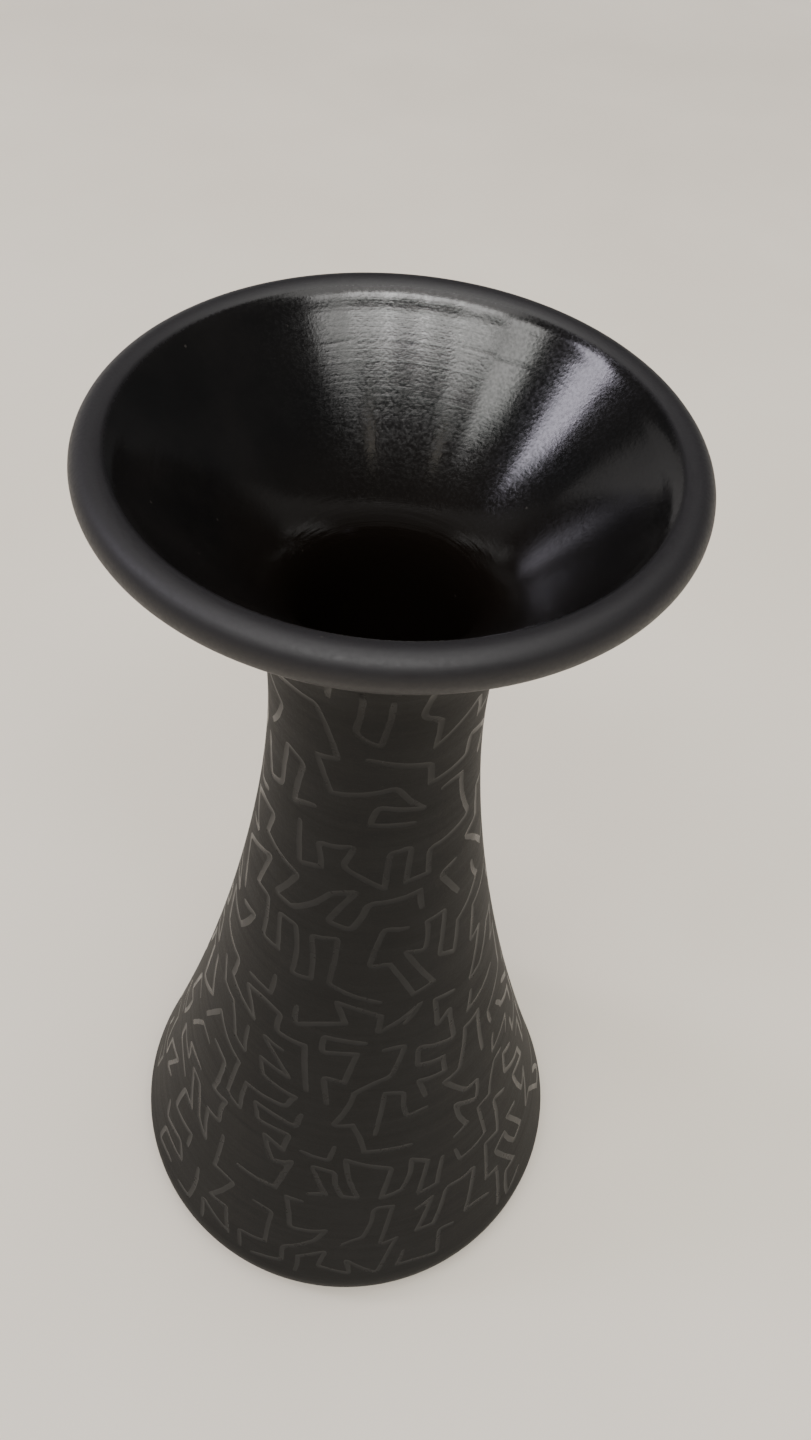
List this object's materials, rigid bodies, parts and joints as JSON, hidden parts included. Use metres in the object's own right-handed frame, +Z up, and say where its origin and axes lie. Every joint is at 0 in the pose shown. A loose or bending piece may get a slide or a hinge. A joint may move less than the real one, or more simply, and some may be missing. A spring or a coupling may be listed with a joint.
{
  "type": "trumpet-mouthed clay vase",
  "caption": "Black clay vase with a conical body, a narrow neck and a wide trumpet-shaped mouth with a rounded lip, standing on a flat base.",
  "frame": {"origin": "centre of the flat face that the vase stands on", "axes": "+Z up along the vase's axis of revolution, through the mouth; X and Y are horizontal and equivalent"},
  "size_m": [0.0734, 0.0734, 0.153],
  "materials": {
    "matte_clay": "matte",
    "burnished_clay": "burnished satin"
  },
  "bodies": {
    "root": {"base_disc": "matte_clay", "lower_body": "matte_clay", "upper_body": "matte_clay", "neck": "matte_clay", "mouth_funnel": "burnished_clay", "rim_coil": "burnished_clay"}
  },
  "joints": []
}
